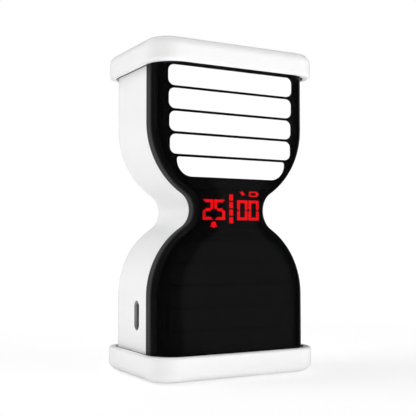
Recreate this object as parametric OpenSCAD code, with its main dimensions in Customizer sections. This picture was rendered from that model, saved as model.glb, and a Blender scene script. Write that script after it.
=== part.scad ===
// Hourglass timer with light bars: white caps and rear housing, smoked front cover
// X runs to the right seen from the front, the front faces -Y, Z is up
// The origin is the middle of the lower pad, on the surface that the timer stands on

/* [Overall] */
// Total height, pad to pad
total_h = 105; // [100:1:130]
// Width of the body at the bulbs
body_w = 54.4; // [53:0.2:66]
// Depth of the body from the cover's face to the rear face
body_d = 37.8; // [36:0.2:46]
// Height of one end cap without its pad
cap_h = 7.8; // [7.2:0.1:10]

/* [Body] */
// Radius of the bulbs' shoulders
bulb_r = 25.6; // [24.6:0.1:26]
// Radius of the hollows at the waist
waist_r = 6.4; // [5.4:0.1:7]
// Rounding of the cover's front edge
front_edge_r = 7.8; // [6.5:0.1:9.4]
// Rounding of the housing's rear edge
rear_edge_r = 7; // [5:0.1:7.4]
// Straight part of the cover from its rounded edge to the parting line
cover_skirt = 2.5; // [2:0.1:3.5]
// How far the body reaches into each cap
pocket_d = 3; // [2.4:0.1:3.4]

/* [Walls and clearances] */
// Wall of the rear housing
housing_t = 2; // [1.8:0.1:2.4]
// Wall of the front cover
cover_t = 1.2; // [1:0.1:1.3]
// How much shorter the housing's tongue is than the cover's straight part
tongue_short = 0.3; // [0.2:0.1:1]
// Clearance of the tongue in the cover, and of the cover at the parting line
lap_gap = 0.1; // [0.1:0.05:0.2]
// Clearance of the body in the cap pockets
pocket_gap = 0.25; // [0.2:0.05:0.4]
// Clearance round the light frames and the display
frame_gap = 0.35; // [0.3:0.05:0.6]
// Clearance of a screw in its hole
screw_gap = 0.1; // [0.1:0.05:0.3]

/* [Caps and pads] */
// How far a cap stands out beside the body
cap_over_x = 2.7; // [2:0.1:6]
// How far a cap stands out before and behind the body
cap_over_y = 2; // [1.8:0.1:6]
// Corner radius of a cap seen from above
cap_corner_r = 8; // [6:0.2:10]
// Rounding of a cap's outer edge
cap_edge_r = 3.2; // [2:0.1:3.4]
// Rounding of a cap's rim round the body
cap_rim_r = 1; // [0.4:0.1:1.1]
// Width of the shadow gap round the body at a cap's mouth
shadow_w = 0.9; // [0.5:0.1:1]
// Depth of the shadow gap
shadow_d = 1.2; // [0.6:0.1:1.6]
// Web left under the cored pocket floor of a cap
cap_web_t = 1.8; // [1.4:0.1:2]
// Rib between the cored cells of a cap
cap_rib_t = 1.4; // [1:0.1:2]
// Width of a cored cell of a cap
cap_cell_w = 7.2; // [5:0.1:7.2]
// Depth of a cored cell of a cap
cap_cell_d = 6.8; // [5:0.1:7.2]
// Rim of a cap at the two ends of its non-slip pad
pad_rim_x = 5.4; // [4.5:0.1:9]
// Rim of a cap before and behind its non-slip pad
pad_rim_y = 5.2; // [4.5:0.1:8]
// Thickness of a non-slip pad
pad_t = 1.4; // [1:0.1:1.6]
// How far a pad stands out of its cap
pad_proud = 0.4; // [0.2:0.1:0.6]
// Corner radius of a pad
pad_corner_r = 4.5; // [3:0.5:8]
// Side clearance of a pad in its recess
pad_gap = 0.15; // [0.1:0.05:0.3]

/* [Light bars] */
// From the body's side to the bar next to the cap
bar_side = 4.5; // [4.2:0.1:7]
// How much narrower each next bar is
bar_taper = 0.4; // [0:0.1:0.6]
// How much lower each next bar is
bar_shrink = 0.1; // [0:0.05:0.2]
// Gap between two bars
bar_gap = 0.86; // [0.5:0.02:1]
// From the body's end to the first bar
bar_margin = 2.95; // [2.5:0.05:3.4]
// From the waist bar to the display
bar_foot = 3.21; // [2:0.01:5]
// Thickness of a bar
bar_t = 1.6; // [1.2:0.1:2]
// Corner radius of a bar
bar_corner_r = 2; // [1:0.1:2.6]
// Radius of the waist bar's corners on the waist side
waist_bar_r = 5.1; // [4:0.1:5.1]
// Radius of the waist bar's other corners
waist_bar_small_r = 0.8; // [0.4:0.1:1.2]
// Rim of the light frame beside the waist bar
waist_bar_rim = 0.3; // [0.3:0.1:2]
// Depth of the bars' face behind the cover's face
bar_depth = 4; // [4:0.1:5]
// Ledge that carries a bar all round
bar_ledge = 0.6; // [0.4:0.1:0.8]
// Clearance of a bar in its seat
bar_seat_gap = 0.05; // [0.03:0.01:0.1]
// Edge length of a light source
led_w = 2.8; // [2:0.1:3.5]
// Height of a light source over the board
led_t = 0.8; // [0.5:0.1:1]
// Distance of the outer light sources from the bar's end
led_end = 9; // [7:0.5:12]

/* [Display] */
// Least side clearance of the digits in the cover
digit_gap = 0.1; // [0.05:0.05:0.4]
// Height of the display
display_h = 13.8; // [13.6:0.1:14.4]
// Thickness of the display's face plate
display_plate_t = 4.2; // [3:0.1:4.4]
// Width of the display's body behind its face plate
display_body_w = 17; // [14:0.2:18]
// Width of one digit
digit_w = 3.75; // [3:0.05:3.8]
// Height of one digit
digit_h = 6.4; // [5.5:0.1:7]
// How far the digits sit above the middle
digit_rise = 0.1; // [0:0.05:0.4]
// Width of a segment
digit_stroke = 0.9; // [0.7:0.05:1.2]
// Gap between neighbouring segments
segment_gap = 0.1; // [0.08:0.02:0.2]
// Distance between the digits of a pair
digit_pitch = 4.25; // [4:0.05:4.4]
// Distance of a pair's middle from the divider
pair_x = 6.3; // [6:0.05:6.3]
// Thickness of the segments
segment_t = 0.3; // [0.2:0.05:0.4]
// Width of the divider
divider_w = 1.25; // [1:0.05:1.6]
// How far the divider sits above the middle
divider_rise = 0.45; // [0:0.05:0.6]
// Height of one dash of the divider
dash_h = 1.95; // [1.5:0.05:2]
// Gap between two dashes
dash_gap = 0.45; // [0.3:0.05:0.6]

/* [Charging socket] */
// Length of the socket's mouth
usb_l = 8.94; // [8.9:0.01:9]
// Height of the socket's mouth
usb_h = 3.26; // [3.2:0.01:3.3]
// Depth of the socket
usb_depth = 7.3; // [6.5:0.1:8]
// Sheet thickness of the socket's shell
usb_sheet = 0.3; // [0.25:0.05:0.4]
// How far the shell sits behind the housing's face
usb_recess = 0.9; // [0.5:0.1:1.4]
// Clearance of the shell in the housing's slot
usb_gap = 0.2; // [0.15:0.05:0.3]
// Height of the socket's middle over the surface
usb_z = 19.4; // [18:0.1:22]

/* [Boards] */
// Distance of the main board's front face from the cover's face
board_depth = 14; // [13.6:0.1:14.4]
// Thickness of the main board
board_t = 1.6; // [1.2:0.1:1.6]
// Clearance round the main board in the housing
board_gap = 1.2; // [0.8:0.1:2]
// Diameter of the board's bosses
boss_d = 6; // [5:0.1:6]
// Diameter of the board screws
screw_d = 2; // [1.8:0.1:2.2]
// Distance of the board's bosses from the body's sides
boss_side = 7.7; // [7:0.1:9]
// Diameter of the pegs of the light frames
peg_d = 1.6; // [1.2:0.1:2]

/* [Cap screws] */
// Distance of the cap screws from the body's sides
cap_screw_side = 6.8; // [6:0.1:8]
// Distance of the front pair of cap screws behind the main board
cap_screw_front = 6.8; // [5:0.1:8]
// Distance of the rear pair of cap screws from the rear face
cap_screw_rear = 5.9; // [5:0.1:7]
// Length of a cap screw's shank
cap_screw_l = 7; // [6:0.5:8]
// Diameter of the bosses for the cap screws
cap_boss_d = 5; // [4.5:0.1:5.4]

/* [Battery] */
// Width of the battery
battery_w = 29; // [24:0.5:30]
// Height of the battery
battery_h = 24; // [18:0.5:24]
// Thickness of the battery
battery_t = 9; // [6:0.5:10]
// Thickness of the foam tape behind the battery
tape_t = 0.8; // [0.5:0.1:1.2]
// Diameter of a battery lead
lead_d = 1.2; // [1:0.1:1.4]

/* [Keys and speaker] */
// Diameter of a key
key_d = 8; // [7:0.1:9.6]
// Gap between the flanges of two keys
key_spacing = 1.4; // [0.6:0.1:2]
// Distance of the outer keys' flanges from the rear rounding
key_rim = 0.9; // [0.4:0.1:3]
// How far a key stands out of the rear face
key_proud = 0.9; // [0.8:0.1:1.4]
// Clearance round a key
key_gap = 0.3; // [0.3:0.05:0.4]
// Width of a key's flange outside the hole
key_flange = 0.6; // [0.4:0.1:0.7]
// Thickness of a key's flange
key_flange_t = 1.2; // [0.8:0.1:1.4]
// Height of a tact switch
switch_h = 3.2; // [3:0.1:3.6]
// Travel of a key
key_travel = 0.6; // [0.4:0.1:0.8]
// Diameter of the speaker
speaker_d = 14; // [11:0.5:14]
// Height of the speaker
speaker_t = 4.4; // [3.5:0.1:5]
// Diameter of a sound hole
sound_hole_d = 1.6; // [1.2:0.1:2]

/* [Hidden] */
BARS = 5;
$fn = 64;

// Levels along the height and the depth
mid_z = total_h / 2;
ledge_z = pad_proud + cap_h;
body_z0 = ledge_z - pocket_d;
body_z1 = total_h - body_z0;
front_y = -body_d / 2;
rear_y = body_d / 2;
cover_d = front_edge_r + cover_skirt;
tongue_len = cover_skirt - tongue_short;
part_y = front_y + cover_d;
bar_y = front_y + bar_depth;
board_y = front_y + board_depth;
board_back_y = board_y + board_t;
wall_y = rear_y - housing_t;
cap_w = body_w + 2 * cap_over_x;
cap_d = body_d + 2 * cap_over_y;
pad_w = cap_w - 2 * pad_rim_x;
pad_d = cap_d - 2 * pad_rim_y;

// The hourglass outline: shoulder and waist arcs meet on the line through their centres.
// The slope of that line is a ratio of whole numbers and its length a multiple of 0.5, so that
// the arcs meet without a step; the hollow's radius takes up what the length is rounded by
slope = [336, 527] / 625;
arc_a = atan2(slope[1], slope[0]);
arcs_l = 0.5 * round(2 * (bulb_r + waist_r));
hollow_r = arcs_l - bulb_r;
shoulder_x = body_w / 2 - bulb_r;
shoulder_dz = arcs_l * slope[1];
hollow_x = shoulder_x + arcs_l * slope[0];
lip = 4;
tongue_t = housing_t - cover_t - lap_gap;
frame_inset = max(housing_t, cover_inset(bar_depth)) + frame_gap;

// The display's face lies where the digits just fit between the cover's rounded sides
digits_half = pair_x + digit_pitch / 2 + digit_w / 2;
digits_inset = hollow_x - hollow_r - digits_half - digit_gap;
display_depth = segment_t + 0.1 * ceil(10 * (front_edge_r
  - sqrt(pow(front_edge_r - cover_t, 2) - pow(front_edge_r - digits_inset, 2))) - 0.01);
display_y = front_y + display_depth;
display_inset = max(housing_t, cover_inset(display_depth - segment_t)) + frame_gap / 2;
arc_steps = 10;

// Distance of the cover's inner face from the outline at a depth behind the cover's face
function cover_inset(depth) = front_edge_r
  - sqrt(pow(front_edge_r - cover_t, 2) - pow(max(front_edge_r - depth, 0), 2));

// The bars fill the bulb from the cap to the display, in steps of 0.05
bar_w = body_w - 2 * bar_side;
bars_room = body_z1 - bar_margin - mid_z - display_h / 2 - bar_foot - (BARS - 1) * bar_gap;
bar_h = 0.05 * round(20 * (bars_room / BARS + (BARS - 1) / 2 * bar_shrink));

// Places of the bars, counted from the cap to the waist
function bar_height(k) = bar_h - (k - 1) * bar_shrink;
function bar_top(k) = k == 1 ? body_z1 - bar_margin : bar_top(k - 1) - bar_height(k - 1) - bar_gap;
function bar_mid(k) = bar_top(k) - bar_height(k) / 2;
function bar_width(k) = k < BARS ? bar_w - (k - 1) * bar_taper : waist_bar_w();
// The waist bar fits the outline where its large corners begin, in steps of 0.2
function waist_bar_w() = 0.2 * floor(10
  * (half_width(bar_top(BARS) - bar_height(BARS) + 0.66 * waist_bar_r, frame_inset) - waist_bar_rim));

// Half the width of the outline at a height, moved inwards by an inset
function half_width(z, inset) =
  let (dz = abs(z - mid_z))
  dz >= shoulder_dz ? body_w / 2 - inset
  : dz >= (hollow_r + inset) * slope[1]
    ? shoulder_x + sqrt(pow(bulb_r - inset, 2) - pow(shoulder_dz - dz, 2))
  : hollow_x - sqrt(pow(hollow_r + inset, 2) - pow(dz, 2));

// Points of the right half of the outline, from low to high
function right_side(inset, z0, z1) = concat(
  [[body_w / 2 - inset, z0]],
  [for (k = [0:arc_steps]) let (a = arc_a * k / arc_steps)
    [shoulder_x + (bulb_r - inset) * cos(a), mid_z - shoulder_dz + (bulb_r - inset) * sin(a)]],
  [for (k = [1 - arc_steps:arc_steps - 1]) let (a = arc_a * k / arc_steps)
    [hollow_x - (hollow_r + inset) * cos(a), mid_z + (hollow_r + inset) * sin(a)]],
  [for (k = [0:arc_steps]) let (a = arc_a * (1 - k / arc_steps))
    [shoulder_x + (bulb_r - inset) * cos(a), mid_z + shoulder_dz - (bulb_r - inset) * sin(a)]],
  [[body_w / 2 - inset, z1]]);

module hourglass(inset, z0, z1) {
  right = right_side(inset, z0, z1);
  left = [for (k = [len(right) - 1:-1:0]) [-right[k][0], right[k][1]]];
  polygon(concat(right, left));
}

// Stands a flat shape up and gives it a depth from y0 to y1
module upright(y0, y1) {
  translate([0, y1, 0]) rotate([90, 0, 0]) linear_extrude(y1 - y0) children();
}

// Turns a solid about Z into one about Y, with its Z along Y
module along_y() {
  rotate([-90, 0, 0]) children();
}

// The same piece at the other end of the timer
module other_end() {
  translate([0, 0, total_h]) mirror([0, 0, 1]) children();
}

module quarter(r) {
  intersection() {
    circle(r);
    square(r);
  }
}

module round_rect(w, h, r) {
  square([w - 2 * r, h], center = true);
  for (s = [-1, 1]) translate([s * (w - r) / 2, 0]) square([r, h - 2 * r], center = true);
  for (s = [0, 1], t = [0, 1])
    mirror([s, 0]) mirror([0, t]) translate([w / 2 - r, h / 2 - r]) quarter(r);
}

// Slot with round ends, long along its first axis
module stadium(l, h) {
  square([l - h, h], center = true);
  for (s = [0, 1], t = [0, 1])
    mirror([s, 0]) mirror([0, t]) translate([l / 2 - h / 2, 0]) quarter(h / 2);
}

// Edge profile of a plate: 0 is its outer face, with a rounding below and above
module plate_edge(reach, h, r_low, r_top) {
  translate([r_low, 0]) square([reach - r_low, r_low]);
  translate([r_low, r_low]) rotate(180) quarter(r_low);
  translate([0, r_low]) square([reach, h - r_low - r_top]);
  translate([r_top, h - r_top]) square([reach - r_top, r_top]);
  translate([r_top, h - r_top]) rotate(90) quarter(r_top);
}

// Flat block with round corners in plan and rounded edges
module rounded_plate(w, d, h, corner_r, r_low, r_top) {
  linear_extrude(h) square([w - 2 * corner_r, d - 2 * corner_r], center = true);
  for (s = [0, 1]) mirror([s, 0, 0])
    translate([w / 2, d / 2 - corner_r, 0]) rotate([90, 0, 0])
      linear_extrude(d - 2 * corner_r) mirror([1, 0]) plate_edge(corner_r, h, r_low, r_top);
  for (s = [0, 1]) mirror([0, s, 0])
    translate([corner_r - w / 2, d / 2, 0]) rotate([90, 0, 90])
      linear_extrude(w - 2 * corner_r) mirror([1, 0]) plate_edge(corner_r, h, r_low, r_top);
  for (s = [0, 1], t = [0, 1]) mirror([s, 0, 0]) mirror([0, t, 0])
    translate([w / 2 - corner_r, d / 2 - corner_r, 0])
      rotate_extrude(angle = 90) translate([corner_r, 0]) mirror([1, 0])
        plate_edge(corner_r, h, r_low, r_top);
}

// Part of a ring about a centre, from the level through it to the line of the arcs' centres
module ring_sector(centre, side) {
  reach = 62.5;
  intersection() {
    translate([centre[0], 0, centre[1]]) along_y() rotate_extrude() children();
    upright(-body_d, body_d) translate(centre)
      polygon([[0, 0], [side * reach, 0], [side * reach, -side * reach],
        [side * reach * slope[0], -side * reach * slope[1]]]);
  }
}

// Runs a wall profile along both sides of the hourglass: x is the distance inwards, y the depth
module along_sides(z1) {
  for (s = [0, 1], end = [0, 1])
    mirror([s, 0, 0]) translate([0, 0, end * total_h]) mirror([0, 0, end]) {
      translate([body_w / 2, 0, mid_z + shoulder_dz])
        linear_extrude(z1 - mid_z - shoulder_dz) mirror([1, 0]) children();
      ring_sector([shoulder_x, mid_z + shoulder_dz], 1)
        translate([bulb_r, 0]) mirror([1, 0]) children();
      ring_sector([hollow_x, mid_z], -1) translate([hollow_r, 0]) children();
    }
}

// Wall that turns over a rounded edge into a flat face: edge at 0, wall along the depth
module wall_profile(edge_r, wall, depth) {
  translate([edge_r, edge_r]) rotate(180) difference() {
    quarter(edge_r);
    circle(edge_r - wall);
  }
  translate([0, edge_r]) square([wall, depth - edge_r]);
  translate([edge_r, 0]) square([lip, wall]);
}

// Plan of one end of a shell, with its two rounded edges at y = 0
module end_plan(edge_r, depth, grow = 0) {
  half = body_w / 2 + grow;
  r = edge_r + grow;
  translate([-half, edge_r]) square([2 * half, depth - edge_r]);
  translate([r - half, -grow]) square([2 * (half - r), r]);
  for (s = [0, 1]) mirror([s, 0]) translate([half - r, edge_r]) rotate(-90) quarter(r);
}

// Plan of the whole body's end, grown all round
module body_plan(grow) {
  translate([0, front_y]) end_plan(front_edge_r, body_d / 2 + 1, grow);
  translate([0, rear_y]) mirror([0, 1]) end_plan(rear_edge_r, body_d / 2 + 1, grow);
}

// Shell of one half of the body: a face, two swept walls and two end walls
module half_shell(edge_r, wall, depth) {
  along_sides(body_z1 - wall) wall_profile(edge_r, wall, depth);
  upright(0, wall) hourglass(edge_r + lip / 2, body_z0 + wall, body_z1 - wall);
  for (z = [body_z0, body_z1 - wall])
    translate([0, 0, z]) linear_extrude(wall) end_plan(edge_r, depth);
}

module boss(x, z, y0, y1, d) {
  translate([x, y0, z]) along_y() cylinder(h = y1 - y0, d = d);
}

module sound_holes() {
  for (ring = [0:2], k = [0:max(1, ring * 6) - 1])
    let (a = 60 / max(1, ring) * k, r = ring * 2.2 * sound_hole_d / 1.6)
      boss(r * cos(a), speaker_z + r * sin(a), wall_y - 1, rear_y + 1, sound_hole_d);
}

speaker_z = body_z0 + housing_t + speaker_d / 2 + 1.4;
speaker_ring_t = 1;
speaker_ring_h = 2.4;
speaker_seat_gap = 0.2;
pilot_d = screw_d + 2 * screw_gap;
key_boss_d = 4.6;
key_flange_r = key_d / 2 + key_gap + key_flange;
key_pitch = 2 * key_flange_r + key_spacing;
// The row of keys lies as high as the flat of the rear wall allows, in steps of 0.1
key_z = 0.1 * round(10 * (mid_z - shoulder_dz
  + sqrt(pow(bulb_r - rear_edge_r - key_flange_r - key_rim, 2) - pow(key_pitch - shoulder_x, 2))));
// The key board's bosses stand over the gaps between the keys
key_boss_dz = 0.1 * ceil(10
  * sqrt(pow(key_flange_r + key_boss_d / 2 + 0.4, 2) - pow(key_pitch / 2, 2)));
key_boss_places = [for (s = [-1, 1]) [s * key_pitch / 2, key_z + key_boss_dz]];
key_under_y = wall_y - key_flange_t;
plunger_d = 3.4;
plunger_out = 1.2;
switch_w = 6;
switch_top_y = key_under_y - plunger_out;
switch_base_y = switch_top_y - switch_h;
key_board_t = 1.4;
key_board_y = switch_base_y - key_board_t;
boss_z = bar_mid(4);
boss_x = body_w / 2 - boss_side;
boss_places = [for (s = [-1, 1], z = [boss_z, total_h - boss_z]) [s * boss_x, z]];
battery_y = wall_y - tape_t - battery_t;
battery_z = bar_mid(2) - battery_h / 2 - 5.5;
cradle_t = 1.2;
cradle_h = 5;
cap_screw_x = body_w / 2 - cap_screw_side;
cap_screw_places = [for (s = [-1, 1], y = [board_back_y + cap_screw_front, rear_y - cap_screw_rear])
  [s * cap_screw_x, y]];
usb_y = board_back_y + usb_h / 2;
usb_x = -body_w / 2 + usb_recess;

module rear_housing() {
  color("white") difference() {
    union() {
      translate([0, rear_y, 0]) mirror([0, 1, 0])
        half_shell(rear_edge_r, housing_t, rear_y - part_y);
      along_sides(body_z1 - housing_t)
        translate([cover_t + lap_gap, part_y - tongue_len]) square([tongue_t, tongue_len]);
      for (p = boss_places) boss(p[0], p[1], board_back_y, wall_y, boss_d);
      for (p = key_boss_places)
        boss(p[0], p[1], key_board_y + key_board_t, wall_y, key_boss_d);
      translate([0, wall_y - speaker_ring_h, speaker_z]) along_y() difference() {
        cylinder(h = speaker_ring_h, d = speaker_d + 2 * (speaker_seat_gap + speaker_ring_t));
        translate([0, 0, -1])
          cylinder(h = speaker_ring_h + 1, d = speaker_d + 2 * speaker_seat_gap);
      }
      for (s = [0, 1]) mirror([s, 0, 0])
        translate([battery_w / 2 + 0.1, wall_y - cradle_h, battery_z])
          cube([cradle_t, cradle_h, battery_h]);
      for (p = cap_screw_places, end = [0, 1])
        translate([p[0], p[1], end == 0 ? body_z0 + housing_t : body_z1 - housing_t])
          mirror([0, 0, end]) cylinder(h = cap_screw_l - housing_t, d = cap_boss_d);
    }
    for (p = boss_places) boss(p[0], p[1], board_back_y - 1, board_back_y + 8, pilot_d);
    for (p = key_boss_places)
      boss(p[0], p[1], switch_base_y - 1, switch_base_y + 4.4, pilot_d);
    for (k = [-1, 0, 1])
      boss(k * key_pitch, key_z, wall_y - 1, rear_y + 1, key_d + 2 * key_gap);
    sound_holes();
    translate([-body_w / 2 - 1, usb_y, usb_z]) rotate([0, 90, 0])
      linear_extrude(housing_t + 2) stadium(usb_l + 2 * usb_gap, usb_h + 2 * usb_gap);
    for (p = cap_screw_places, end = [0, 1])
      translate([p[0], p[1], end == 0 ? body_z0 - 1 : body_z1 + 1])
        mirror([0, 0, end]) cylinder(h = cap_screw_l, d = pilot_d);
  }
}

module front_cover() {
  color([0.03, 0.03, 0.035, 0.8]) translate([0, front_y, 0])
    half_shell(front_edge_r, cover_t, cover_d - lap_gap);
}

// Cored cells under the body's end, with ribs between them, inside the rows of screws
module cap_cells() {
  pitch = [cap_cell_w + cap_rib_t, cap_cell_d + cap_rib_t];
  room = [2 * cap_screw_x - screw_head_d - cap_rib_t, pad_d - cap_rib_t];
  last = [for (k = [0, 1]) (floor(room[k] / pitch[k]) - 1) / 2];
  for (i = [-last[0]:last[0]], j = [-last[1]:last[1]])
    translate([i * pitch[0], j * pitch[1], pad_t + cap_web_t])
      linear_extrude(body_z0 - pad_t - cap_web_t + 1) round_rect(cap_cell_w, cap_cell_d, 1);
}

screw_head_d = 4;
screw_head_t = 1.5;

// The cap's block with the pocket for the body's end and a shadow gap at its mouth
module cap_block() {
  difference() {
    translate([0, 0, pad_proud])
      rounded_plate(cap_w, cap_d, cap_h, cap_corner_r, cap_edge_r, cap_rim_r);
    translate([0, 0, body_z0]) linear_extrude(pocket_d + 1) body_plan(pocket_gap);
    translate([0, 0, ledge_z - shadow_d]) linear_extrude(shadow_d + 1) body_plan(shadow_w);
  }
}

module lower_cap() {
  difference() {
    cap_block();
    translate([0, 0, -1]) linear_extrude(pad_t + 1)
      round_rect(pad_w + 2 * pad_gap, pad_d + 2 * pad_gap, pad_corner_r + pad_gap);
    cap_cells();
    for (p = cap_screw_places) translate([p[0], p[1], 0]) {
      cylinder(h = pad_t + screw_head_t + screw_gap, d = screw_head_d + 4 * screw_gap);
      cylinder(h = total_h / 4, d = pilot_d + 2 * screw_gap);
    }
  }
}

module lower_pad() {
  rounded_plate(pad_w, pad_d, pad_t, pad_corner_r, pad_proud - 0.1, 0.1);
}

module cap_screw() {
  cylinder(h = screw_head_t, d = screw_head_d);
  translate([0, 0, screw_head_t - 0.1])
    cylinder(h = body_z0 - pad_t - screw_head_t + cap_screw_l - 1.5, d = screw_d);
}

module lower_cap_screws() {
  for (p = cap_screw_places) translate([p[0], p[1], pad_t + screw_gap]) cap_screw();
}

module bottom_cap() {
  color("white") lower_cap();
}

module top_cap() {
  color("white") other_end() lower_cap();
}

module bottom_pad() {
  color("gainsboro") lower_pad();
}

module top_pad() {
  color("gainsboro") other_end() lower_pad();
}

module bottom_cap_screws() {
  color("silver") lower_cap_screws();
}

module top_cap_screws() {
  color("silver") other_end() lower_cap_screws();
}

// Face of one bar about its middle, its waist side down
module bar_face(k, grow) {
  w = bar_width(k) + 2 * grow;
  h = bar_height(k) + 2 * grow;
  r_top = (k < BARS ? bar_corner_r : waist_bar_small_r) + max(grow, -0.3);
  r_low = (k < BARS ? bar_corner_r : waist_bar_r) + max(grow, -0.3);
  translate([-w / 2, r_low - h / 2]) square([w, h - r_low - r_top]);
  translate([r_top - w / 2, h / 2 - r_top]) square([w - 2 * r_top, r_top]);
  translate([r_low - w / 2, -h / 2]) square([w - 2 * r_low, r_low]);
  for (s = [0, 1]) mirror([s, 0]) {
    translate([w / 2 - r_top, h / 2 - r_top]) quarter(r_top);
    translate([w / 2 - r_low, r_low - h / 2]) rotate(-90) quarter(r_low);
  }
}

module light_bar(k) {
  translate([0, 0, bar_mid(k)]) upright(bar_y, bar_y + bar_t) bar_face(k, 0);
}

peg_x = 6;
peg_z = (mid_z + display_h / 2 + bar_top(BARS) - bar_height(BARS)) / 2;

// Black frame of the upper bulb: a seat and a light chamber for each bar, pegs through the board
module light_frame() {
  difference() {
    upright(bar_y, board_y) intersection() {
      hourglass(frame_inset, body_z0 + housing_t, body_z1 - housing_t - lap_gap);
      translate([-body_w, mid_z + display_h / 2 + lap_gap]) square([2 * body_w, total_h]);
    }
    for (k = [1:BARS]) translate([0, 0, bar_mid(k)]) {
      upright(bar_y - 1, bar_y + bar_t) bar_face(k, bar_seat_gap);
      upright(bar_y - 1, board_y + 1) bar_face(k, -bar_ledge);
    }
  }
  for (s = [-1, 1]) boss(s * peg_x, peg_z, board_y, board_back_y + 0.4, peg_d);
}

module bar_leds() {
  for (k = [1:BARS], s = [-1, 0, 1])
    translate([s * (bar_width(k) / 2 - led_end), board_y - led_t / 2, bar_mid(k)])
      cube([led_w, led_t, led_w], center = true);
}

module upper_light_frame() {
  color("black") light_frame();
}

module lower_light_frame() {
  color("black") other_end() light_frame();
}

module upper_bar(k) {
  color("white") light_bar(k);
}

module lower_bar(k) {
  color("dimgray") other_end() light_bar(k);
}

module upper_leds() {
  color("ivory") bar_leds();
}

module lower_leds() {
  color("ivory") other_end() bar_leds();
}

// Face plate that fills the waist, on a narrower body that stands on the board
module display_module() {
  color("black") union() {
    upright(display_y, display_y + display_plate_t) intersection() {
      hourglass(display_inset, body_z0, body_z1);
      translate([0, mid_z]) square([body_w, display_h], center = true);
    }
    upright(display_y + display_plate_t, board_y) translate([0, mid_z])
      round_rect(display_body_w, display_h - 1, 0.8);
  }
}

digit_places = [for (s = [-1, 1], t = [-1, 1]) s * pair_x + t * digit_pitch / 2];
digit_segments = ["abdeg", "acdfg", "abcdef", "abcdef"];

// One segment of a digit whose lower left corner is the origin
module segment(name) {
  w = digit_w;
  h = digit_h;
  t = digit_stroke;
  g = segment_gap;
  if (name == "a" || name == "d")
    translate([0, name == "a" ? h : 0]) mirror([0, name == "a" ? 1 : 0])
      polygon([[g, 0], [w - g, 0], [w - t - g, t], [t + g, t]]);
  if (name == "g")
    translate([t + g, (h - t) / 2]) square([w - 2 * (t + g), t]);
  if (len(search(name, "bcef")) > 0)
    translate([name < "d" ? w : 0, h / 2]) mirror([name < "d" ? 1 : 0, 0])
      mirror([0, name == "c" || name == "e" ? 1 : 0])
        polygon([[0, h / 2 - g], [t, h / 2 - t - g], [t, g], [0.4 * t, g], [0, 0.4 * t + g]]);
}

module digit_faces(lit) {
  upright(display_y - segment_t, display_y)
    for (k = [0:3], name = "abcdefg")
      if ((len(search(name, digit_segments[k])) > 0) == lit)
        translate([digit_places[k] - digit_w / 2, mid_z + digit_rise - digit_h / 2]) segment(name);
}

module lit_segments() {
  color("red") digit_faces(true);
}

module unlit_segments() {
  color([0.15, 0.02, 0.02]) digit_faces(false);
}

module divider_dashes() {
  color("red") upright(display_y - segment_t, display_y)
    for (k = [-1.5:1.5]) translate([0, mid_z + divider_rise + k * (dash_h + dash_gap)])
      square([divider_w, dash_h], center = true);
}

sign_z = digit_h / 2 + 1.95;
sign_line = 0.42;

// Bolt and battery over the right pair, bell under the left pair
module status_icons() {
  color("red") upright(display_y - segment_t, display_y) {
    translate([4.2, mid_z + sign_z + 0.35])
      polygon([[-1.05, 0.5], [0.2, -0.8], [0.2, -0.05], [1.05, -0.5], [-0.2, 0.8], [-0.2, 0.05]]);
    translate([8.3, mid_z + sign_z + 0.2]) difference() {
      union() {
        round_rect(3, 1.7, 0.3);
        translate([1.5, -0.4]) square([0.4, 0.8]);
      }
      square([3 - 2 * sign_line, 1.7 - 2 * sign_line], center = true);
    }
    translate([-6.35, mid_z - sign_z + 0.55]) {
      translate([0, 0.1]) rotate(90) quarter(0.85);
      translate([0, 0.1]) quarter(0.85);
      translate([-0.85, -0.45]) square([1.7, 0.55]);
      translate([-1.25, -0.7]) square([2.5, 0.25]);
      translate([-0.35, -1]) square([0.7, 0.3]);
    }
  }
}

module main_board() {
  color("darkgreen") difference() {
    upright(board_y, board_back_y)
      hourglass(housing_t + board_gap, body_z0 + housing_t + board_gap, body_z1 - housing_t - board_gap);
    for (p = boss_places) boss(p[0], p[1], board_y - 1, board_back_y + 1, pilot_d);
    for (s = [-1, 1], z = [peg_z, total_h - peg_z])
      boss(s * peg_x, z, board_y - 1, board_back_y + 1, peg_d + 2 * screw_gap);
  }
}

module on_board(x, z, w, h, t) {
  translate([x - w / 2, board_back_y, z - h / 2]) cube([w, t, h]);
}

module controller_chip() {
  color("black") on_board(0, mid_z, 7, 7, 1);
}

module motion_sensor() {
  color("dimgray") on_board(5.5, mid_z - 5.8, 3, 3, 0.9);
}

module board_screws() {
  color("silver") for (p = boss_places) {
    boss(p[0], p[1], board_y - screw_head_t, board_y, screw_head_d - 0.2);
    boss(p[0], p[1], board_y - 0.1, board_back_y + 6, screw_d);
  }
}

// Drawn shell of the socket, its mouth to the left, closed at the back
module usb_shell() {
  color("silver") translate([usb_x, usb_y, usb_z]) rotate([0, 90, 0]) difference() {
    linear_extrude(usb_depth) stadium(usb_l, usb_h);
    translate([0, 0, -1]) linear_extrude(usb_depth)
      stadium(usb_l - 2 * usb_sheet, usb_h - 2 * usb_sheet);
  }
}

module usb_tongue() {
  color("black") translate([usb_x + 0.8, usb_y - 0.35, usb_z - 3.3])
    cube([usb_depth - 1.8, 0.7, 6.6]);
}

module battery() {
  color("silver") translate([0, battery_y + battery_t, battery_z + battery_h / 2]) rotate([90, 0, 0])
    rounded_plate(battery_w, battery_h, battery_t, 2, 1.4, 1.4);
}

module battery_tape() {
  color("black") translate([-battery_w * 0.35, battery_y + battery_t, battery_z + battery_h * 0.2])
    cube([battery_w * 0.7, tape_t, battery_h * 0.6]);
}

header_z = peg_z + 1.6;
header_t = 3;
plug_t = 3.5;
lead_x = 1.25;
lead_bend_r = 1.6;

module battery_header() {
  color("ivory") on_board(0, header_z, 7.5, 4, header_t);
}

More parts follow.
